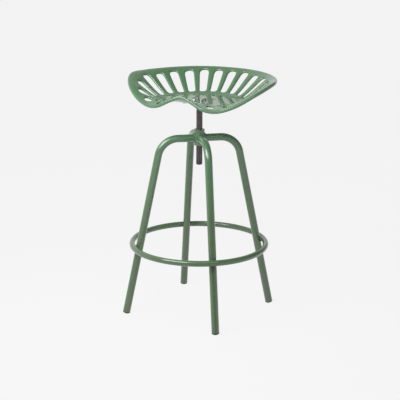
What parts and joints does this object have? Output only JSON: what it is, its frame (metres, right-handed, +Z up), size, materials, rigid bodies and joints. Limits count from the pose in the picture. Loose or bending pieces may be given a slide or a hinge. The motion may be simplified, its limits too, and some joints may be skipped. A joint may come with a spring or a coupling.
{
  "type": "tractor seat stool",
  "caption": "Height-adjustable stool with a pressed, slotted pan seat on a screw spindle, bent tube legs and a round foot ring.",
  "frame": {"origin": "on the floor, under the spindle's axis", "axes": "+Z up along the spindle; the legs stand along +X, +Y, -X and -Y; the seat at rest faces about 231 degrees from +X, between -X and -Y"},
  "size_m": [0.5028, 0.5028, 0.7659],
  "materials": {
    "green_paint": "gloss",
    "dark_steel": "satin",
    "zinc": "satin",
    "plug_plastic": "matte"
  },
  "bodies": {
    "base": {"hub": "green_paint", "leg_right": "green_paint", "leg_back": "green_paint", "leg_left": "green_paint", "leg_front": "green_paint", "foot_ring": "green_paint", "foot_plug_right": "plug_plastic", "foot_plug_back": "plug_plastic", "foot_plug_left": "plug_plastic", "foot_plug_front": "plug_plastic"},
    "lift": {"spindle_collar": "dark_steel"},
    "seat": {"spindle": "dark_steel", "seat_plate": "dark_steel", "seat_pan": "green_paint", "seat_screw_1": "zinc", "seat_screw_2": "zinc", "seat_screw_3": "zinc", "seat_screw_4": "zinc", "seat_washer_1": "zinc", "seat_washer_2": "zinc", "seat_washer_3": "zinc", "seat_washer_4": "zinc"}
  },
  "joints": [
    {"name": "seat_lift", "type": "slide", "parent": "base", "child": "lift", "axis": [0, 0, 1], "range_m": [-0.0702, 0.0677]},
    {"name": "seat_turn", "type": "hinge", "parent": "lift", "child": "seat", "pos_m": [0, 0, 0.57], "axis": [0, 0, 1], "range_deg": [-10080, 9720]}
  ],
  "couplings": [
    {"joint": "seat_lift", "follows": "seat_turn", "m_per_rad": 0.00039789}
  ]
}
